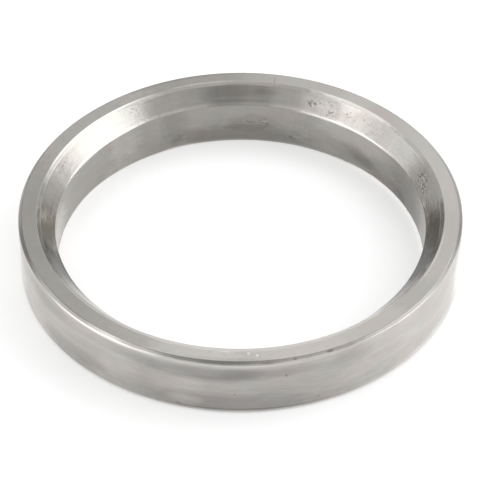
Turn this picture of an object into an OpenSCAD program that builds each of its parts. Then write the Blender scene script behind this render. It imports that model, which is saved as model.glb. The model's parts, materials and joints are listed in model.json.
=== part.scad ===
// Hub centric ring: one turned aluminium ring that fills the gap between a
// wheel's centre bore and the hub of the car. It lies on its back face with the
// bevelled mouth up, and the origin is at the centre of that back face.

/* [Ring] */
// Bore diameter, which seats on the hub's spigot
bore_d = 56.1; // [40:0.1:110]
// Wall between the bore and the outside, which seats in the wheel's centre bore
wall = 5.5; // [4:0.1:20]
// Height of the ring along its axis
ring_h = 10; // [6:0.5:25]

/* [Bevel] */
// Width of the bevel at the mouth, from the bore out to the lip
bevel_w = 2.15; // [1:0.05:4]
// Depth of the bevel, from the top face down to the bore
bevel_h = 2.75; // [2:0.05:5]
// Width of the lip, a shallow second bevel between the bevel and the top face
lip_w = 0.6; // [0.4:0.05:1]
// Depth of the lip, from the top face down to the bevel
lip_h = 0.22; // [0.1:0.02:0.3]

/* [Edges] */
// Chamfer round the outside at the top face
top_chamfer = 0.5; // [0.2:0.05:1.2]
// Chamfer round the outside at the back face
back_chamfer = 0.4; // [0.2:0.05:1.2]
// Chamfer at the back end of the bore
bore_chamfer = 0.2; // [0.1:0.05:1]
// Radius to which every edge is softened
edge_r = 0.2; // [0.05:0.05:0.5]

/* [Hidden] */
$fn = 180;

// Straight steps that make up the round on an edge
edge_steps = 3;
// Largest share of a side that the round at one of its ends may take up
round_share = 0.45;

bore_r = bore_d / 2;
ring_r = bore_r + wall;

// Corners of the ring's section as [radius, height], counter-clockwise from the
// back end of the bore
section = [
    [bore_r + bore_chamfer, 0],
    [ring_r - back_chamfer, 0],
    [ring_r, back_chamfer],
    [ring_r, ring_h - top_chamfer],
    [ring_r - top_chamfer, ring_h],
    [bore_r + bevel_w + lip_w, ring_h],
    [bore_r + bevel_w, ring_h - lip_h],
    [bore_r, ring_h - bevel_h],
    [bore_r, bore_chamfer]
];

// Unit vector from point a to point b
function toward(a, b) = (b - a) / norm(b - a);

// Unit vector at an angle
function ray(angle) = [cos(angle), sin(angle)];

// Points of the round on corner b, between its neighbours a and c. The round
// gives way where a side is too short for it.
function edge_round(a, b, c) =
    let (
        inward = toward(a, b),
        turn = acos(inward * toward(b, c)),
        run = min(edge_r * tan(turn / 2), round_share * norm(b - a), round_share * norm(c - b)),
        radius = run / tan(turn / 2),
        start = atan2(inward.y, inward.x) - 90,
        centre = b - run * inward - radius * ray(start)
    )
    [for (i = [0 : edge_steps]) centre + radius * ray(start + turn * i / edge_steps)];

// The section's outline, with every corner rounded
function softened(points) =
    let (n = len(points))
    [for (i = [0 : n - 1]) each edge_round(points[(i + n - 1) % n], points[i], points[(i + 1) % n])];

// The whole ring, turned from one blank
module hub_ring() {
    color("silver")
        rotate_extrude()
            polygon(softened(section));
}

hub_ring();
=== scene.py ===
"""Looks for a hub centric ring: a turned aluminium spigot ring lying flat on a pale studio floor."""
import json
import math

import bpy
from mathutils import Matrix, Vector


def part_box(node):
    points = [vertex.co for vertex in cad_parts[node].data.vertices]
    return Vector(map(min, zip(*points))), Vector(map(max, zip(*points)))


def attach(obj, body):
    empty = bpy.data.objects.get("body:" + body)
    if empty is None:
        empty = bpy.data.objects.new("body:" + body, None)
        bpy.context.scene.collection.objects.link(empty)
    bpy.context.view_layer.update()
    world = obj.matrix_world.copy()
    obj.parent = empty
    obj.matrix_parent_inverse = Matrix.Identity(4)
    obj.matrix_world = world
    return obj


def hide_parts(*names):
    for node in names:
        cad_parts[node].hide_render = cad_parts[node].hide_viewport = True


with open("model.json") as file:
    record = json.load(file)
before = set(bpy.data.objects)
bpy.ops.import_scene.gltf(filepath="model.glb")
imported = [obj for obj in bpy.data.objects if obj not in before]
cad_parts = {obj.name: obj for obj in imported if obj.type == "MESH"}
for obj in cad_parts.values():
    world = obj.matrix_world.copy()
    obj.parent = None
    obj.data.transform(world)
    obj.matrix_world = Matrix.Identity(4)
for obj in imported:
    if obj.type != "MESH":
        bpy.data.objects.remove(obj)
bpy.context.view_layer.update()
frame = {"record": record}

MM = 0.001

# Ring section in metres: the outside and the bore come from the frame, the cuts are the part's own
high_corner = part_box("hub_ring")[1]
mounts = {mount["name"]: mount for mount in frame["record"]["mounts"]}
OUTER_R = high_corner.x
HEIGHT = high_corner.z
BORE_R = mounts["hub_bore"]["dims"]["r_mm"] * MM
BEVEL_WIDTH = 2.15 * MM
BEVEL_DEPTH = 2.75 * MM
LIP_WIDTH = 0.6 * MM
LIP_DEPTH = 0.22 * MM
TOP_CHAMFER = 0.5 * MM
BACK_CHAMFER = 0.4 * MM
BORE_CHAMFER = 0.2 * MM
EDGE_RADIUS = 0.2 * MM
SHOULDER = HEIGHT - BEVEL_DEPTH
BEVEL_EDGE = BORE_R + BEVEL_WIDTH
LIP_EDGE = BEVEL_EDGE + LIP_WIDTH

# Mesh of the turned body. The half turn is a little more than at any corner of the section.
EDGE_STEPS = 4
CELL = 0.45 * MM
TURN_SEGMENTS = 720
SUPPORT_POINTS = 2
SUPPORT_GAP = 0.02 * MM
WIDEST_HALF_TURN = math.radians(24.5)

# Camera, as recovered from the ring's two outlines in the photograph
PHOTO_SIDE = 480
SENSOR_WIDTH = 36.0
FOCAL_PIXELS = 2618.98
CAMERA_DISTANCE = 398.93 * MM
CAMERA_ELEVATION = math.radians(41.692)
CAMERA_YAW = math.radians(-0.0149)
CAMERA_PITCH = math.radians(0.1554)
CAMERA_ROLL = math.radians(-0.2236)
NEAREST_SEEN = 10 * MM

# Studio: the lamps' distance, and a white floor that curves up into a low cove all round. The floor glows
# only for the rays that see it, so that it looks white to the camera and in the metal.
LAMP_DISTANCE = 0.7
FLOOR_RADIUS = 0.75
COVE_RADIUS = 0.22
COVE_STEPS = 12
COVE_SEGMENTS = 96
FLOOR_COLOUR = (0.75, 0.75, 0.75, 1.0)
FLOOR_GLOW = 0.32
GLOWING_FOR = ("Is Camera Ray", "Is Glossy Ray", "Is Transmission Ray")
WHITE = (1.0, 1.0, 1.0, 1.0)
WORLD_LIGHT = 0.77

# Rows of softbox panels: first and last azimuth, elevation and height in degrees, and brightness
PANEL_WIDTH = 20
SOFTBOX_ROWS = {
    "right_row": (-26, 34, 24, 16, 2.5),
    "right_row_upper": (-30, 10, 40, 16, 2.0),
    "right_row_end": (10, 50, 40, 16, 0.95),
    "right_row_low": (-50, 30, 8, 16, 0.45),
    "back_right_row": (34, 54, 24, 16, 1.05),
    "back_row_low": (54, 114, 24, 16, 0.4),
    "back_row": (50, 90, 40, 16, 0.5),
    "back_row_upper": (10, 110, 56, 16, 1.0),
    "left_row": (150, 210, 24, 16, 1.35),
    "left_row_upper": (190, 210, 40, 16, 2.3),
    "left_row_end": (210, 230, 40, 16, 1.0),
    "left_row_fade": (230, 250, 40, 16, 0.35),
    "left_row_low": (190, 230, 8, 16, 0.22),
    "front_right_row": (290, 330, 32, 24, 0.33),
}

# Turned aluminium: its tints, and the tones between which the metal's own tint gives way to that of a
# painted glint
METAL_TINT = (1.045, 1.007, 0.948, 1.0)
GLINT_TINT = (1.0, 1.0, 0.99, 1.0)
GLINT_TONES = (1.0, 1.7)
WALL_TINT = (1.0, 0.995, 1.015, 1.0)
WARM_TINT = (1.02, 0.99, 0.99, 1.0)
COOL_TINT = (0.98, 1.01, 1.0, 1.0)
# Colour of the dark coat of painted shade
PAINTED_SHADE_COLOUR = (0.05, 0.048, 0.045, 1.0)

# How bright the metal is on each face, where a later face covers an earlier one, and the most it may be.
# The faces differ partly by finish and partly by painted light and shade, set to how bright their
# reflections look
FACE_TONES = {
    "top": 0.368,
    "bevel": 0.287,
    "lip": 0.42,
    "bore": 0.315,
    "wall": 0.54,
    "chamfer": 0.233,
}
BRIGHTEST_TONE = 0.92

# Places where one face gives way to the next: radii, heights, and at the rim the sum of both
SOFT_EDGE = 0.1 * MM
RIM_SUM = OUTER_R + HEIGHT - TOP_CHAMFER
FADES = {
    "bore_height": (SHOULDER - SOFT_EDGE, SHOULDER + SOFT_EDGE),
    "bore": (BORE_R + SOFT_EDGE, BORE_R + 3 * SOFT_EDGE),
    "bevel": (BEVEL_EDGE - SOFT_EDGE, BEVEL_EDGE + SOFT_EDGE),
    "lip": (LIP_EDGE - SOFT_EDGE, LIP_EDGE),
    "rim": (RIM_SUM - SOFT_EDGE, RIM_SUM),
    "wall": (OUTER_R - 1.2 * SOFT_EDGE, OUTER_R - 0.4 * SOFT_EDGE),
    "wall_foot": (1.5 * MM, 5.0 * MM),
}

# Faces on which a patch's middle and half height are measured outwards from the axis
LEVEL_FACES = ("top", "lip")
# Middle and half height, in millimetres, of a patch that goes from edge to edge
EDGE_TO_EDGE = (0.0, 1000.0)

# Painted highlights, painted reflections and painted shade on each face, with some clouds and a few marks:
# azimuth and half length in degrees, middle and half height in millimetres up from the back face, or out
# from the axis on the level faces, and how much lighter the metal is there
PAINTED_LIGHT_AND_CLOUDS = {
    "wall": {
        "front_painted_shade": (-92, 50, 5.0, 30.0, -0.30),
        "front_foot": (-93, 34, 1.8, 2.6, -0.16),
        "front_top": (-96, 34, 7.7, 1.4, -0.14),
        "front_middle": (-99, 18, 6.7, 0.8, -0.08),
        "left_foot": (-138, 15, 2.3, 2.2, -0.2),
        "left_side": (-140, 16, 5.0, 9.0, -0.06),
        "left_top": (-149, 17, 7.9, 2.2, -0.19),
        "left_end": (-172, 12, 3.4, 6.0, 0.26),
        "light_left": (-122, 9, 5.4, 2.8, 0.08),
        "light_middle": (-106, 9, 5.4, 2.6, 0.10),
        "dark_core": (-90, 7, 8.0, 1.6, -0.10),
        "front_right": (-62, 8, 7.6, 2.4, -0.11),
        "right_low": (-50, 10, 2.4, 2.0, -0.09),
        "right_high": (-30, 16, 7.0, 3.0, -0.08),
        "left_high": (-158, 15, 6.6, 4.0, -0.07),
        "light_foot": (-104, 6, 2.2, 1.4, 0.17),
        "right_end": (-11, 10, 3.6, 6.5, 0.5),
        "left_rim": (-170, 12, 9.4, 0.5, -0.25),
        "right_rim": (-13, 8, 9.4, 0.6, -0.28),
        "rim_dim_right": (-42, 22, 9.55, 0.22, -0.2),
        "back_painted_shade": (90, 82, 5.0, 30.0, -0.26),
        "rim_glow": (-98, 46, 9.4, 0.6, 0.14),
        "rim_light_left": (-128, 20, 9.5, 0.3, 0.3),
        "foot_glow": (-90, 85, 0.45, 0.35, 0.3),
        "foot_glow_right": (-28, 24, 0.8, 0.6, 0.22),
        "foot_line": (-86, 30, 0.85, 0.25, -0.16),
        "foot_line_left": (-136, 20, 0.8, 0.2, -0.2),
    },
    "bore": {
        "right_end": (2, 9, 4.0, 9.0, -0.04),
        "right_dark": (21, 15, 3.4, 7.0, -0.3),
        "right_dark_low": (33, 13, 1.1, 2.0, -0.2),
        "right_blob": (45.5, 7.5, 2.2, 1.3, -0.26),
        "right_blob_high": (50, 6, 3.6, 1.2, -0.16),
        "right_light": (50, 18, 6.0, 3.0, 0.28),
        "right_light_low": (60, 7, 1.2, 1.6, 0.12),
        "left_light_low": (131, 13, 1.2, 2.0, 0.1),
        "foot_dark": (90, 30, 1.6, 2.6, -0.26),
        "middle_dark": (87, 12, 3.8, 2.2, -0.16),
        "stripe_dark": (112, 6, 5.5, 5.0, -0.18),
        "left_light": (131, 9, 5.0, 4.5, 0.20),
        "left_side": (150, 26, 3.5, 9.0, 0.12),
        "left_end": (176, 15, 3.2, 4.2, 0.56),
        "rim_right": (58, 11, 7.25, 0.4, 0.8),
        "rim_left": (147, 9, 7.25, 0.4, 0.8),
        "foot_line": (90, 85, 0.2, 0.4, 0.25),
        "foot_glint_right": (18, 42, 0.22, 0.36, 4.6),
        "foot_glint_left": (152, 26, 0.2, 0.34, 1.0),
        "foot_glint_back": (110, 10, 0.2, 0.34, 0.5),
    },
    "bevel": {
        "right_front_dark": (-24, 13, 8.8, 30.0, -0.5),
        "right_front_soft": (-40, 9, 8.8, 30.0, -0.24),
        "right_lift": (-2, 10, 8.4, 2.6, 0.5),
        "right_side": (9, 9, 8.7, 4.0, 0.15),
        "front_right": (-51, 10, 9.0, 3.0, 0.38),
        "back_dark": (95, 9, 8.9, 3.0, -0.2),
        "back_smudge": (82, 7, 9.0, 0.5, -0.12),
        "back_streak": (90, 12, 8.2, 0.25, 0.14),
        "back_left": (108, 8, 8.8, 3.0, -0.02),
        "highlight": (138, 17, 8.8, 3.0, 0.16),
        "right_edge": (62.5, 4.5, 8.7, 1.3, 0.22),
        "right_gleam": (54, 5.5, 9.6, 1.1, 0.2),
        "right_glow": (46, 6, 8.6, 2.6, 0.16),
        "left_side": (167, 9, 8.9, 3.0, 0.22),
        "left_lift": (-173.5, 10, 8.3, 3.5, 1.4),
        "left_high": (-178, 6, 9.8, 1.1, -0.25),
        "left_shoulder": (180, 10, 7.5, 0.7, 0.4),
        "right_shoulder": (0, 11, 7.5, 0.5, 0.8),
        "left_front_dark": (-158, 12, 8.6, 30.0, -0.5),
        "left_front_light": (-133, 9, 9.1, 2.4, 0.32),
        "shoulder_line": (90, 80, 7.35, 0.5, 0.25),
    },
    "lip": {
        "right_bright": (52, 20, 30.5, 30.0, 0.75),
        "right_line": (51, 16, 30.6, 0.3, 0.8),
        "left_bright": (139, 26, 30.5, 30.0, 0.4),
        "back": (92, 36, 30.5, 30.0, 0.04),
        "back_seam": (91, 8, 30.2, 0.3, -0.22),
        "right_seam": (50, 14, 30.3, 0.25, 0.6),
        "right_seam_low": (36, 14, 30.2, 0.2, 0.2),
        "left_seam": (158, 14, 30.2, 0.2, 0.08),
        "right_start": (28, 9, 30.5, 30.0, 0.34),
        "right_side": (8, 9, 30.5, 30.0, -0.04),
        "right_dark": (-12, 18, 30.5, 30.0, -0.7),
        "right_front": (-33, 9, 30.5, 30.0, -0.16),
        "left_dark": (-167, 18, 30.5, 30.0, -0.66),
        "left_front": (-148, 12, 30.5, 30.0, -0.06),
        "left_back_dark": (173, 8, 30.4, 30.0, -0.44),
        "front": (-85, 60, 30.5, 30.0, 0.54),
    },
    "top": {
        "front_light": (-103, 14, 31.8, 9.0, 0.22),
        "front_light_right": (-80, 22, 31.7, 9.0, 0.08),
        "left_front_painted_shade": (-136, 14, 31.8, 9.0, -0.07),
        "right_front_painted_shade": (-37, 9, 31.8, 9.0, -0.10),
        "right_light": (18, 24, 31.8, 9.0, 0.08),
        "back_right_light": (54, 7, 31.8, 9.0, 0.10),
        "back_painted_shade": (94, 8, 31.8, 9.0, -0.08),
        "back_left_light": (139, 26, 31.8, 9.0, 0.24),
        "lip_line_left": (146, 18, 30.8, 0.3, 0.3),
        "lip_line_right": (-22, 14, 30.95, 0.3, 0.16),
        "back_rim_painted_shade": (110, 34, 32.9, 0.5, -0.13),
        "lip_line_back": (101, 14, 30.95, 0.25, 0.3),
        "lip_line_front": (-90, 40, 30.8, 0.4, 0.15),
        "light_speck": (-88, 0.5, 31.4, 0.3, 0.5),
        "light_speck_low": (-85.8, 0.4, 31.9, 0.25, 0.5),
        "scratch": (79.8, 0.3, 31.4, 1.4, -0.22),
        "front_rim_painted_shade": (-95, 16, 32.9, 0.7, -0.14),
        "front_rim_dark": (-91, 24, 33.05, 0.16, -0.5),
    },
    "chamfer": {
        "left": (-166, 10, 9.75, 3.0, -0.3),
        "left_lift": (-148, 10, 9.75, 3.0, 0.06),
        "front_left": (-120, 14, 9.75, 3.0, 0.3),
        "front_foot": (-90, 60, 9.5, 0.25, 0.9),
        "front_right": (-42, 20, 9.75, 3.0, -0.14),
        "back_left": (152, 22, 9.75, 3.0, -0.6),
        "back_right": (22, 14, 9.75, 3.0, -0.14),
        "front": (-75, 18, 9.75, 3.0, 0.5),
        "right": (-19, 12, 9.75, 3.0, 0.22),
    },
}

# Corners with painted highlights along them: each corner's radius and height, and how far from it the
# painted highlight is full and ends
HIGHLIGHTED_CORNERS = {
    "shoulder": (BORE_R, SHOULDER),
    "lip": (LIP_EDGE - SOFT_EDGE, HEIGHT),
    "rim": (OUTER_R, HEIGHT - TOP_CHAMFER),
}
EDGE_HIGHLIGHT_REACH = 0.24 * MM
FULL_EDGE_HIGHLIGHT_REACH = EDGE_HIGHLIGHT_REACH / 3
# Where the painted highlights lie: azimuth and half length in degrees, and how far they brighten the metal
# towards its brightest tone
PAINTED_EDGE_HIGHLIGHTS = {
    "shoulder": {"right": (52, 22, 0.85), "left": (144, 22, 0.9), "left_end": (168, 12, 0.12)},
    "lip": {"right": (54, 16, 0.65), "left": (140, 26, 0.65), "front": (-85, 60, 0.15)},
    "rim": {"left": (-129, 21, 0.5), "front": (-96, 26, 0.2), "right": (-40, 10, 0.15)},
}

# Small pits on the outside, placed as the clouds are, with how deep they are
PITS = {
    "wall_pit": (-78.9, 0.42, 7.1, 0.34, 0.8),
    "wall_pit_low": (-91.6, 0.48, 3.9, 0.26, 0.5),
    "wall_pit_right": (-70.6, 0.7, 1.7, 0.35, 0.4),
    "foot_nick": (-105.6, 1.2, 1.1, 0.35, 0.4),
    "rim_nick": (-67.6, 1.2, 9.85, 0.16, 0.8),
    "rim_nick_front": (-76.7, 0.6, 9.85, 0.16, 0.6),
}

# Scars on the bevel and in the bore, placed as the clouds are, with how thickly they are flecked
SCARS = {
    "bevel_knock": (16.4, 2.6, 8.8, 0.6, 2.0),
    "bevel_knock_low": (13.6, 3.4, 8.1, 0.6, 2.0),
    "bevel_knock_round": (15.5, 9.0, 8.5, 1.1, 1.2),
    "bevel_middle": (31.0, 9.0, 8.6, 1.1, 0.65),
    "bevel_star": (66.9, 1.9, 8.6, 0.5, 3.4),
    "bevel_row": (63.0, 5.0, 9.1, 0.5, 0.9),
    "bevel_row_low": (61.0, 4.0, 8.3, 0.5, 1.0),
    "bevel_specks": (50.0, 11.0, 8.7, 0.9, 0.66),
    "bevel_specks_low": (43.0, 3.5, 8.3, 0.6, 0.7),
    "bevel_back": (98.0, 14.0, 9.0, 0.6, 0.5),
    "bevel_left_high": (124.5, 3.5, 9.3, 0.45, 1.0),
    "bevel_left": (158.0, 7.0, 9.0, 0.9, 0.8),
    "bore_knock": (82.6, 1.6, 4.3, 0.7, 2.6),
    "bore_knock_low": (81.6, 1.2, 3.8, 0.35, 1.5),
    "bore_line": (88.2, 4.0, 4.0, 0.16, 1.8),
    "bore_line_low": (98.0, 6.0, 2.7, 0.14, 0.8),
    "bore_speck": (72.5, 1.4, 1.7, 0.45, 2.2),
    "bore_nick": (38.9, 0.6, 2.4, 0.4, 1.6),
}

# Painted shade: a dark coat over the bevel's mouth that darkens its reflections, placed as the painted
# light is, with how much of the metal it covers
PAINTED_SHADE_PATCHES = {
    "bevel_right": (-22, 11, 8.6, 30.0, 0.4),
    "bevel_right_end": (-36, 12, 8.6, 30.0, 0.2),
    "bevel_left": (-156, 13, 8.6, 30.0, 0.26),
    "shoulder_right": (-39, 14, 7.4, 0.5, 0.28),
    "shoulder_left": (-152, 18, 7.4, 0.5, 0.28),
}

# Worn parts of the bevel: azimuth and half length in degrees, and how worn it is
WORN = {
    "right": (50, 24, 1.0),
    "right_low": (16, 8, 0.8),
    "back_left": (122, 8, 0.9),
    "left": (163, 14, 0.9),
    "left_front": (-138, 14, 0.8),
}

# Noise over the ring: how long its spots are round the ring and how wide across it, in millimetres, its
# detail, and where in the noise it is taken
NOISES = {
    "wobble": (2.2, 0.9, 3.0, 41.0),
    "wear": (5.0, 1.6, 3.0, 8.9),
    "clouds": (9.0, 2.2, 3.0, 3.7),
    "smears": (0.9, 5.0, 2.0, 11.3),
    "smudges": (4.5, 0.55, 3.0, 17.0),
    "fine_marks": (0.9, 0.16, 2.0, 5.1),
    "specks": (0.5, 0.3, 2.0, 27.0),
    "scratches": (0.3, 1.4, 2.0, 33.0),
    "flecks": (0.35, 0.22, 2.0, 21.0),
    "grooves": (60.0, 0.13, 1.0, 2.2),
    "ripples": (1.6, 0.6, 2.0, 14.0),
    "nicks": (0.38, 0.27, 3.0, 47.0),
    "tints": (6.0, 3.0, 1.0, 31.0),
}
NOISE_ROUGHNESS = 0.6
NOISE_GAIN = 4.0

# How far noise moves the edges of the patches
WOBBLE = 0.3
WALL_WOBBLE = 0.1
# Noise at which wear starts and is full outside the worn parts, and how worn it is there
WEAR_NOISE = (0.0, 0.9)
WEAR_SHARE = 0.4
# Noise at which a dark speck starts and is full, and how dark it is
SPECK_NOISE = (0.55, 0.8)
SPECK_SHADE = 0.35
# Noise at which a dent and a glint start and are full inside a scar, and how dark and how bright they are
DENT_NOISE = (0.25, 0.6)
DENT_SHADE = 0.45
GLINT_NOISE = (-0.4, -0.8)
GLINT_SHADE = 0.4

# How much each kind of mark lightens and darkens the metal, on the whole ring and on some of its faces
MARK_SHADES = {
    "clouds": {"ring": 0.03, "wall": 0.045, "bore": 0.03},
    "smears": {"ring": 0.015, "wall": -0.015, "bore": 0.01, "bevel": 0.03},
    "fine_marks": {"ring": 0.01, "wall_foot": 0.05},
    "scratches": {"worn_bevel": 0.07},
    "smudges": {"wall": 0.08, "bevel": 0.04, "bore": 0.04},
}

# Roughness on the whole ring and on some of its faces, how smears change it, and how much wear adds
ROUGHNESS = {"ring": 0.19, "wall": 0.09, "bore": 0.07, "bevel": -0.03}
SMEAR_ROUGHNESS = {"ring": 0.02, "wall": -0.02}
WEAR_ROUGHNESS = 0.04
# How far the turning stretches reflections, and the share of a turn by which the stretch is turned
ANISOTROPY = 0.3
QUARTER_TURN = 0.25

# Relief in millimetres
GROOVE_DEPTH = 0.0006
RIPPLE_DEPTHS = {"ring": 0.0006, "bevel": 0.003}
FLECK_DEPTH = 0.0025
DENT_DEPTH = 0.03


class Value:
    """A node socket that can be used in arithmetic, where each operator adds one Math node."""

    def __init__(self, graph, socket):
        self.graph = graph
        self.socket = socket

    def __add__(self, other):
        return self.graph.math("ADD", self, other)

    def __radd__(self, other):
        return self.graph.math("ADD", other, self)

    def __sub__(self, other):
        return self.graph.math("SUBTRACT", self, other)

    def __rsub__(self, other):
        return self.graph.math("SUBTRACT", other, self)

    def __mul__(self, other):
        return self.graph.math("MULTIPLY", self, other)

    def __rmul__(self, other):
        return self.graph.math("MULTIPLY", other, self)

    def __truediv__(self, other):
        return self.graph.math("DIVIDE", self, other)

    def __rtruediv__(self, other):
        return self.graph.math("DIVIDE", other, self)

    def __mod__(self, other):
        return self.graph.math("FLOORED_MODULO", self, other)

    def __pow__(self, other):
        return self.graph.math("POWER", self, other)


class Graph:
    """Adds nodes to one node tree."""

    def __init__(self, tree):
        self.tree = tree

    def node(self, kind, settings=None, sockets=None, out=0):
        """Adds a node, with its settings set before its sockets, and gives one of its outputs."""
        made = self.tree.nodes.new(kind)
        for name, setting in (settings or {}).items():
            setattr(made, name, setting)
        for key, given in (sockets or {}).items():
            self.feed(self.find(made.inputs, key), given)
        return Value(self, self.find(made.outputs, out))

    @staticmethod
    def find(sockets, key):
        """Finds a socket by its place, its identifier or its name."""
        if isinstance(key, int):
            return sockets[key]
        for socket in sockets:
            if socket.identifier == key:
                return socket
        return sockets[key]

    def feed(self, socket, given):
        """Links a Value to a socket, or sets the socket's own value."""
        if isinstance(given, Value):
            self.tree.links.new(given.socket, socket)
        else:
            socket.default_value = given

    def math(self, operation, *terms):
        return self.node("ShaderNodeMath", {"operation": operation}, dict(enumerate(terms)))

    def vector(self, x, y, z):
        return self.node("ShaderNodeCombineXYZ", None, {"X": x, "Y": y, "Z": z})

    def vector_math(self, operation, *terms, out="Vector"):
        return self.node("ShaderNodeVectorMath", {"operation": operation}, dict(enumerate(terms)), out)

    def scale(self, vector, factor):
        return self.node("ShaderNodeVectorMath", {"operation": "SCALE"}, {0: vector, "Scale": factor})

    def split(self, vector):
        """Gives the three parts of a vector."""
        return [self.node("ShaderNodeSeparateXYZ", None, {0: vector}, part) for part in "XYZ"]

    def ease(self, value, start, end):
        """Goes smoothly from 0 at start to 1 at end."""
        return self.node(
            "ShaderNodeMapRange",
            {"interpolation_type": "SMOOTHSTEP"},
            {"Value": value, "From Min": start, "From Max": end},
        )

    def mix(self, factor, first, second):
        """Blends two numbers."""
        sockets = {"Factor_Float": factor, "A_Float": first, "B_Float": second}
        return self.node("ShaderNodeMix", {"data_type": "FLOAT"}, sockets, "Result_Float")

    def mix_colour(self, factor, first, second, blend="MIX"):
        settings = {"data_type": "RGBA", "blend_type": blend}
        sockets = {"Factor_Float": factor, "A_Color": first, "B_Color": second}
        return self.node("ShaderNodeMix", settings, sockets, "Result_Color")

    def choose(self, index, choices):
        """Gives the vector that index counts to."""
        switch = self.tree.nodes.new("GeometryNodeIndexSwitch")
        switch.data_type = "VECTOR"
        while len(switch.index_switch_items) < len(choices):
            switch.index_switch_items.new()
        self.feed(switch.inputs["Index"], index)
        for place, choice in enumerate(choices):
            self.feed(self.find(switch.inputs, f"Item_{place}"), choice)
        return Value(self, switch.outputs[0])

    def at_index(self, field, index):
        """The vector field's value at another point."""
        sockets = {"Value": field, "Index": index}
        return self.node("GeometryNodeFieldAtIndex", {"data_type": "FLOAT_VECTOR"}, sockets)


def link(name, data):
    """Puts new data in the scene as an object."""
    made = bpy.data.objects.new(name, data)
    bpy.context.scene.collection.objects.link(made)
    return made


# The ring's mesh

LATHE_SIZES = {
    "Bore Radius": ("NodeSocketFloat", BORE_R),
    "Outer Radius": ("NodeSocketFloat", OUTER_R),
    "Height": ("NodeSocketFloat", HEIGHT),
    "Bevel Width": ("NodeSocketFloat", BEVEL_WIDTH),
    "Bevel Depth": ("NodeSocketFloat", BEVEL_DEPTH),
    "Lip Width": ("NodeSocketFloat", LIP_WIDTH),
    "Lip Depth": ("NodeSocketFloat", LIP_DEPTH),
    "Top Chamfer": ("NodeSocketFloat", TOP_CHAMFER),
    "Back Chamfer": ("NodeSocketFloat", BACK_CHAMFER),
    "Bore Chamfer": ("NodeSocketFloat", BORE_CHAMFER),
    "Edge Radius": ("NodeSocketFloat", EDGE_RADIUS),
    "Edge Steps": ("NodeSocketInt", EDGE_STEPS),
    "Cell": ("NodeSocketFloat", CELL),
    "Turn Segments": ("NodeSocketInt", TURN_SEGMENTS),
    "Metal": ("NodeSocketMaterial", None),
}


def section_corners(size):
    """The section's corners as (radius, height), clockwise from the foot of the bore."""
    bore, outer, height = size["Bore Radius"], size["Outer Radius"], size["Height"]
    bevel_edge = bore + size["Bevel Width"]
    return [
        (bore, size["Bore Chamfer"]),
        (bore, height - size["Bevel Depth"]),
        (bevel_edge, height - size["Lip Depth"]),
        (bevel_edge + size["Lip Width"], height),
        (outer - size["Top Chamfer"], height),
        (outer, height - size["Top Chamfer"]),
        (outer, size["Back Chamfer"]),
        (outer - size["Back Chamfer"], 0.0),
        (bore + size["Bore Chamfer"], 0.0),
    ]


def section_outline(g, size, turn_radius):
    """A closed curve of the section, rounded at its corners and cut into cells along its sides.

    Curve to Mesh lays the curve's +Y along -Z, so the heights are negative."""
    index = g.node("GeometryNodeInputIndex")
    position = g.node("GeometryNodeInputPosition")
    corners = [g.vector(r - turn_radius, 0.0 - z, 0.0) for r, z in section_corners(size)]
    places = g.choose(index, corners)
    points = g.node("GeometryNodePoints", None, {"Count": len(corners), "Position": places})
    outline = g.node("GeometryNodePointsToCurves", None, {"Points": points})
    outline = g.node("GeometryNodeSetSplineCyclic", None, {"Geometry": outline, "Cyclic": True})

    # Each side gets two points close to its rounds, which keep the flat between them flat in the shading
    outline = g.node("GeometryNodeSubdivideCurve", None, {"Curve": outline, "Cuts": SUPPORT_POINTS})
    side_points = SUPPORT_POINTS + 1.0
    part = index % side_points
    corner = index - part
    before = g.at_index(position, corner)
    after = g.at_index(position, (corner + side_points) % (side_points * len(corners)))
    along = g.vector_math("NORMALIZE", g.vector_math("SUBTRACT", after, before))
    inset = g.scale(along, size["Edge Radius"] * math.tan(WIDEST_HALF_TURN) + SUPPORT_GAP)
    supports = [g.vector_math("ADD", before, inset), g.vector_math("SUBTRACT", after, inset)]
    places = g.choose(part, [position, *supports])
    outline = g.node("GeometryNodeSetPosition", None, {"Geometry": outline, "Position": places})

    corner_radius = size["Edge Radius"] * g.math("LESS_THAN", part, 0.5)
    outline = g.node(
        "GeometryNodeFilletCurve",
        {"mode": "POLY"},
        {"Curve": outline, "Count": size["Edge Steps"], "Radius": corner_radius, "Limit Radius": True},
    )
    settings = {"component": "CURVE"}
    count = g.node("GeometryNodeAttributeDomainSize", settings, {"Geometry": outline}, "Point Count")
    following = g.at_index(position, (index + 1.0) % count)
    gap = g.vector_math("DISTANCE", position, following, out="Value")
    return g.node("GeometryNodeSubdivideCurve", None, {"Curve": outline, "Cuts": gap / size["Cell"]})


def lathe_tree():
    """A tree that turns the ring's section about Z, with its sizes as named inputs."""
    tree = bpy.data.node_groups.new("ring_lathe", "GeometryNodeTree")
    for name, (kind, value) in LATHE_SIZES.items():
        socket = tree.interface.new_socket(name, in_out="INPUT", socket_type=kind)
        if value is not None:
            socket.default_value = value
    tree.interface.new_socket("Geometry", in_out="OUTPUT", socket_type="NodeSocketGeometry")
    g = Graph(tree)
    group_in = tree.nodes.new("NodeGroupInput")
    size = {name: Value(g, group_in.outputs[name]) for name in LATHE_SIZES}

    turn_radius = (size["Bore Radius"] + size["Outer Radius"]) / 2.0
    outline = section_outline(g, size, turn_radius)
    circle = {"Resolution": size["Turn Segments"], "Radius": turn_radius}
    path = g.node("GeometryNodeCurvePrimitiveCircle", None, circle)
    body = g.node("GeometryNodeCurveToMesh", None, {"Curve": path, "Profile Curve": outline})
    body = g.node("GeometryNodeSetShadeSmooth", None, {"Geometry": body, "Shade Smooth": True})
    body = g.node("GeometryNodeRealizeInstances", None, {"Geometry": body})
    body = g.node("GeometryNodeSetMaterial", None, {"Geometry": body, "Material": size["Metal"]})
    group_out = tree.nodes.new("NodeGroupOutput")
    g.feed(group_out.inputs["Geometry"], body)
    return tree


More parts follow.
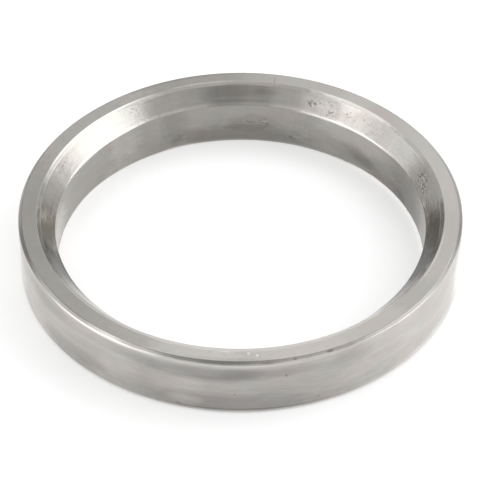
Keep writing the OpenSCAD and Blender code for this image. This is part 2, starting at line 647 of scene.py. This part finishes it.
def turned_ring(metal):
    """The ring as a plain mesh, made by the lathe tree."""
    tree = lathe_tree()
    blank = link("ring_blank", bpy.data.meshes.new("ring_blank"))
    lathe = blank.modifiers.new("lathe", "NODES")
    lathe.node_group = tree
    metal_input = next(s.identifier for s in tree.interface.items_tree if s.name == "Metal")
    lathe[metal_input] = metal
    bpy.context.view_layer.update()
    graph = bpy.context.evaluated_depsgraph_get()
    mesh = bpy.data.meshes.new_from_object(blank.evaluated_get(graph), depsgraph=graph)
    mesh.name = "turned_ring"
    ring = link("turned_ring", mesh)
    bpy.data.objects.remove(blank)
    return ring


# Materials


def new_material(name):
    """A node material with nothing in it but its output."""
    material = bpy.data.materials.new(name)
    material.use_nodes = True
    material.node_tree.nodes.clear()
    graph = Graph(material.node_tree)
    output = graph.tree.nodes.new("ShaderNodeOutputMaterial")
    return material, graph, output


PATCH_INPUTS = {
    "So Far": "NodeSocketFloat",
    "Change": "NodeSocketFloat",
    "Wobble": "NodeSocketFloat",
    "Place": "NodeSocketVector",
    "Spread": "NodeSocketVector",
    "Shift": "NodeSocketVector",
}


class RingSpot:
    """Where a point of the ring is: its distance from the axis, its height, its way round and its face."""

    def __init__(self, g):
        self.g = g
        self.patch_tree = patch_group()
        x, y, self.z = g.split(g.node("ShaderNodeTexCoord", None, None, "Object"))
        self.r = (x * x + y * y) ** 0.5
        self.cos, self.sin = x / self.r, y / self.r
        self.by_height = g.vector(self.cos, self.sin, self.z)
        self.by_radius = g.vector(self.cos, self.sin, self.r)
        self.faces = self.face_shares()

    def face_shares(self):
        """How far the point is on each face, from 0 to 1, and on the parts of faces that marks keep to."""
        g = self.g
        above_bore = g.ease(self.z, *FADES["bore_height"])
        beyond_bevel = g.ease(self.r, *FADES["bevel"])
        beyond_lip = g.ease(self.r, *FADES["lip"])
        beyond_top = g.ease(self.r + self.z, *FADES["rim"])
        wall = g.ease(self.r, *FADES["wall"])
        return {
            "ring": 1.0,
            "top": 1.0,
            "bevel": above_bore * (1.0 - beyond_bevel),
            "lip": beyond_bevel * (1.0 - beyond_lip),
            "mouth": above_bore * (1.0 - beyond_lip),
            "bore": (1.0 - above_bore) * (1.0 - g.ease(self.r, *FADES["bore"])),
            "wall": wall,
            "wall_foot": wall * (1.0 - g.ease(self.z, *FADES["wall_foot"])),
            "chamfer": beyond_top * (1.0 - wall),
        }

    def over_faces(self, amounts):
        """The sum of the amounts, each on its own face."""
        total = 0.0
        for face, amount in amounts.items():
            total = total + self.faces[face] * amount
        return total

    def streaks(self, along, across, detail, seed):
        """Noise from about -1 to 1, whose spots are that long round the ring and that wide across it."""
        g = self.g
        turns = OUTER_R / (along * MM)
        width = across * MM
        place = g.vector(self.cos * turns, self.sin * turns, self.z / width)
        sockets = {
            "Vector": place,
            "W": self.r / width + seed,
            "Scale": 1.0,
            "Detail": detail,
            "Roughness": NOISE_ROUGHNESS,
        }
        noise = g.node("ShaderNodeTexNoise", {"noise_dimensions": "4D"}, sockets)
        return (noise - 0.5) * NOISE_GAIN

    def near_edge(self, r, z):
        """1 on one of the section's corners, falling to 0 where its painted highlight ends."""
        across, up = self.r - r, self.z - z
        return 1.0 - self.g.ease((across * across + up * up) ** 0.5, FULL_EDGE_HIGHLIGHT_REACH, EDGE_HIGHLIGHT_REACH)

    def patches(self, start, spots, place, wobble=0.0):
        """The start value, changed by each of the spots, which fades out towards its own edge.

        A spot's middle and half height lie along the height or the radius that place holds. A spot without
        them goes from edge to edge."""
        value = start
        for azimuth, half_angle, *band, change in spots.values():
            middle, half_height = band or EDGE_TO_EDGE
            turn = math.radians(azimuth)
            wide = 1 / (2 * math.sin(math.radians(half_angle) / 2))
            high = 1 / (half_height * MM)
            sockets = {
                "So Far": value,
                "Change": change,
                "Wobble": wobble,
                "Place": place,
                "Spread": (wide, wide, high),
                "Shift": (-math.cos(turn) * wide, -math.sin(turn) * wide, -middle * MM * high),
            }
            value = self.g.node("ShaderNodeGroup", {"node_tree": self.patch_tree}, sockets, "Result")
        return value


def patch_group():
    """The nodes that add one patch to a value spread over the ring."""
    tree = bpy.data.node_groups.new("ring_patch", "ShaderNodeTree")
    for name, kind in PATCH_INPUTS.items():
        tree.interface.new_socket(name, in_out="INPUT", socket_type=kind)
    tree.interface.new_socket("Result", in_out="OUTPUT", socket_type="NodeSocketFloat")
    g = Graph(tree)
    group_in = tree.nodes.new("NodeGroupInput")
    given = {name: Value(g, group_in.outputs[name]) for name in PATCH_INPUTS}
    away = g.vector_math("MULTIPLY_ADD", given["Place"], given["Spread"], given["Shift"])
    distance = g.vector_math("DOT_PRODUCT", away, away, out="Value") + given["Wobble"]
    patch = g.ease(distance, 1.0, 0.0)
    group_out = tree.nodes.new("NodeGroupOutput")
    g.feed(group_out.inputs["Result"], g.math("MULTIPLY_ADD", patch, given["Change"], given["So Far"]))
    return tree


def metal_tone(g, spot, wobble):
    """How bright the metal is: each face with its painted light, shade and clouds, and the painted edge
    highlights.
    """
    tone = 0.0
    for face, face_tone in FACE_TONES.items():
        place = spot.by_radius if face in LEVEL_FACES else spot.by_height
        # Painted highlights, painted reflections, painted shade and clouds lighten and darken each face's
        # tone
        lighter = spot.patches(1.0, PAINTED_LIGHT_AND_CLOUDS[face], place, wobble)
        tone = g.mix(spot.faces[face], tone, lighter * face_tone)
    # Painted highlights along the corners brighten the metal towards its brightest tone
    for edge, (r, z) in HIGHLIGHTED_CORNERS.items():
        edge_highlight = spot.patches(0.0, PAINTED_EDGE_HIGHLIGHTS[edge], spot.by_height) * spot.near_edge(r, z)
        tone = g.mix(g.math("MINIMUM", edge_highlight, 1.0), tone, BRIGHTEST_TONE)
    return tone


def mark_shade(g, spot, noise, nicks, dents):
    """How much the small marks lighten and darken the metal."""
    shade = 1.0
    for mark, amounts in MARK_SHADES.items():
        shade = shade + noise[mark] * spot.over_faces(amounts)
    specks = g.ease(noise["specks"], *SPECK_NOISE) * spot.faces["worn_bevel"]
    shade = shade - specks * SPECK_SHADE
    shade = shade * (1.0 - g.math("MINIMUM", dents, 1.0) * DENT_SHADE)
    return shade * (1.0 + g.ease(nicks, *GLINT_NOISE) * GLINT_SHADE)


def metal_colour(g, spot, noise, tone, shade):
    """The metal's tone as a colour, a little warmer and cooler from place to place."""
    # Tones this high are painted glints and highlights, which are left nearly neutral
    metal_tint = g.mix_colour(g.ease(tone, *GLINT_TONES), METAL_TINT, GLINT_TINT)
    wall_tint = g.mix_colour(spot.faces["wall"], WHITE, WALL_TINT)
    cloud_tint = g.mix_colour(g.ease(noise["tints"], -1.0, 1.0), WARM_TINT, COOL_TINT)
    colour = g.scale(metal_tint, g.math("MINIMUM", tone * shade, BRIGHTEST_TONE))
    colour = g.mix_colour(1.0, colour, cloud_tint, "MULTIPLY")
    return g.mix_colour(1.0, colour, wall_tint, "MULTIPLY")


def relief(g, spot, noise, dents):
    """The surface's normal: turning grooves, ripples, flecks in the worn bevel, and dents."""
    height = noise["grooves"] * GROOVE_DEPTH
    height = height + noise["flecks"] * spot.faces["worn_bevel"] * FLECK_DEPTH
    height = height + noise["ripples"] * spot.over_faces(RIPPLE_DEPTHS) - dents * DENT_DEPTH
    return g.node("ShaderNodeBump", None, {"Strength": 1.0, "Distance": MM, "Height": height}, "Normal")


def turned_aluminium():
    """Satin turned aluminium, a little dull, clouded and marked by small knocks, with painted highlights,
    painted reflections and painted shade in its colour.
    """
    material, g, output = new_material("turned_aluminium")
    spot = RingSpot(g)
    faces = spot.faces
    noise = {name: spot.streaks(*sizes) for name, sizes in NOISES.items()}
    wobble = noise["wobble"] * g.mix(faces["wall"], WOBBLE, WALL_WOBBLE)
    tone = metal_tone(g, spot, wobble)

    worn = g.ease(noise["wear"], *WEAR_NOISE) * WEAR_SHARE
    worn = spot.patches(worn, WORN, spot.by_height, wobble)
    faces["worn_bevel"] = faces["bevel"] * worn
    outside = g.math("GREATER_THAN", spot.r, (BORE_R + OUTER_R) / 2)
    pits = spot.patches(0.0, PITS, spot.by_height) * outside
    scarred = spot.patches(0.0, SCARS, spot.by_height) * (faces["bore"] + faces["bevel"])
    nicks = noise["nicks"] * scarred
    dents = pits + g.ease(nicks, *DENT_NOISE)

    shade = mark_shade(g, spot, noise, nicks, dents)
    smear_roughness = noise["smears"] * spot.over_faces(SMEAR_ROUGHNESS)
    shader = g.node(
        "ShaderNodeBsdfPrincipled",
        None,
        {
            "Base Color": metal_colour(g, spot, noise, tone, shade),
            "Metallic": 1.0,
            "Roughness": spot.over_faces(ROUGHNESS) + worn * WEAR_ROUGHNESS + smear_roughness,
            "Normal": relief(g, spot, noise, dents),
            "Anisotropic": ANISOTROPY,
            "Anisotropic Rotation": QUARTER_TURN,
        },
    )
    # Painted shade: a dark diffuse coat mixed over the metal where its reflections are darkest
    painted_shade = spot.patches(0.0, PAINTED_SHADE_PATCHES, spot.by_height, wobble) * faces["mouth"]
    shade_coat = g.node("ShaderNodeBsdfDiffuse", None, {"Color": PAINTED_SHADE_COLOUR})
    shaded_metal = g.node("ShaderNodeMixShader", None, {0: painted_shade, 1: shader, 2: shade_coat})
    g.feed(output.inputs["Surface"], shaded_metal)
    return material


def studio_floor():
    """White card that takes a soft shadow and looks as white in the metal as it does to the camera."""
    material, g, output = new_material("studio_floor")
    rays = [g.node("ShaderNodeLightPath", None, None, kind) for kind in GLOWING_FOR]
    seen = g.math("MINIMUM", rays[0] + rays[1] + rays[2], 1.0)
    card = g.node("ShaderNodeBsdfDiffuse", None, {"Color": FLOOR_COLOUR})
    glow = g.node("ShaderNodeEmission", None, {"Color": WHITE, "Strength": seen * FLOOR_GLOW})
    g.feed(output.inputs["Surface"], g.node("ShaderNodeAddShader", None, {0: card, 1: glow}))
    return material


# Studio


def studio_sweep():
    """A round floor whose rim curves up into a low wall."""
    rim = [(FLOOR_RADIUS * step / COVE_STEPS, 0.0) for step in range(1, COVE_STEPS)]
    for step in range(COVE_STEPS + 1):
        turn = math.pi / 2 * step / COVE_STEPS
        rim.append((FLOOR_RADIUS + COVE_RADIUS * math.sin(turn), COVE_RADIUS * (1 - math.cos(turn))))
    points = [(0.0, 0.0, 0.0)]
    faces = []
    for segment in range(COVE_SEGMENTS):
        angle = 2 * math.pi * segment / COVE_SEGMENTS
        points += [(r * math.cos(angle), r * math.sin(angle), z) for r, z in rim]
        here = 1 + segment * len(rim)
        there = 1 + (segment + 1) % COVE_SEGMENTS * len(rim)
        faces.append((0, here, there))
        faces += [(here + k, here + k + 1, there + k + 1, there + k) for k in range(len(rim) - 1)]
    mesh = bpy.data.meshes.new("studio_floor")
    mesh.from_pydata(points, [], faces)
    mesh.polygons.foreach_set("use_smooth", [True] * len(mesh.polygons))
    mesh.materials.append(studio_floor())
    return link("studio_floor", mesh)


def direction(azimuth, elevation):
    """The unit vector towards a place on the studio's dome, from degrees."""
    turn, rise = math.radians(azimuth), math.radians(elevation)
    return Vector((math.cos(turn) * math.cos(rise), math.sin(turn) * math.cos(rise), math.sin(rise)))


def softbox_row(name, first, last, elevation, height, brightness):
    """A row of area lamps that face the ring.

    Brightness is how bright their faces look, where 1 is as bright as white card in even white light."""
    panels = round((last - first) / PANEL_WIDTH)
    for panel in range(panels):
        lamp = bpy.data.lights.new(name, "AREA")
        lamp.shape = "RECTANGLE"
        reach = 2 * LAMP_DISTANCE * math.cos(math.radians(elevation))
        lamp.size = reach * math.tan(math.radians(PANEL_WIDTH / 2))
        lamp.size_y = 2 * LAMP_DISTANCE * math.tan(math.radians(height / 2))
        lamp.energy = brightness * math.pi * lamp.size * lamp.size_y
        towards = direction(first + (panel + 0.5) * PANEL_WIDTH, elevation)
        made = link(name, lamp)
        made.location = towards * LAMP_DISTANCE
        made.rotation_euler = towards.to_track_quat("Z", "Y").to_euler()


def soft_world():
    """An even pale light from all round."""
    world = bpy.data.worlds.new("studio")
    world.use_nodes = True
    background = world.node_tree.nodes["Background"]
    background.inputs["Color"].default_value = WHITE
    background.inputs["Strength"].default_value = WORLD_LIGHT
    bpy.context.scene.world = world


def photo_camera():
    """The photograph's viewpoint, aimed at the ring's middle but for the small turns in the photo."""
    place = Vector((0.0, -math.cos(CAMERA_ELEVATION), math.sin(CAMERA_ELEVATION))) * CAMERA_DISTANCE
    place.z += HEIGHT / 2
    down = CAMERA_ELEVATION + CAMERA_PITCH
    level_share = math.cos(down)
    forward = Vector((
        math.sin(CAMERA_YAW) * level_share,
        math.cos(CAMERA_YAW) * level_share,
        -math.sin(down),
    ))
    level = Vector((math.cos(CAMERA_YAW), -math.sin(CAMERA_YAW), 0.0))
    upright = level.cross(forward)
    right = math.cos(CAMERA_ROLL) * level + math.sin(CAMERA_ROLL) * upright
    up = math.cos(CAMERA_ROLL) * upright - math.sin(CAMERA_ROLL) * level
    lens = bpy.data.cameras.new("photo_camera")
    lens.sensor_width = SENSOR_WIDTH
    lens.lens = FOCAL_PIXELS * SENSOR_WIDTH / PHOTO_SIDE
    lens.clip_start = NEAREST_SEEN
    camera = link("photo_camera", lens)
    camera.matrix_world = Matrix.Translation(place) @ Matrix((right, up, -forward)).transposed().to_4x4()
    bpy.context.scene.camera = camera


photo_camera()
ring = turned_ring(turned_aluminium())
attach(ring, "root")
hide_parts("hub_ring")

studio_sweep()
for row_name, setting in SOFTBOX_ROWS.items():
    softbox_row(row_name, *setting)
soft_world()
bpy.context.scene.view_settings.view_transform = "Standard"
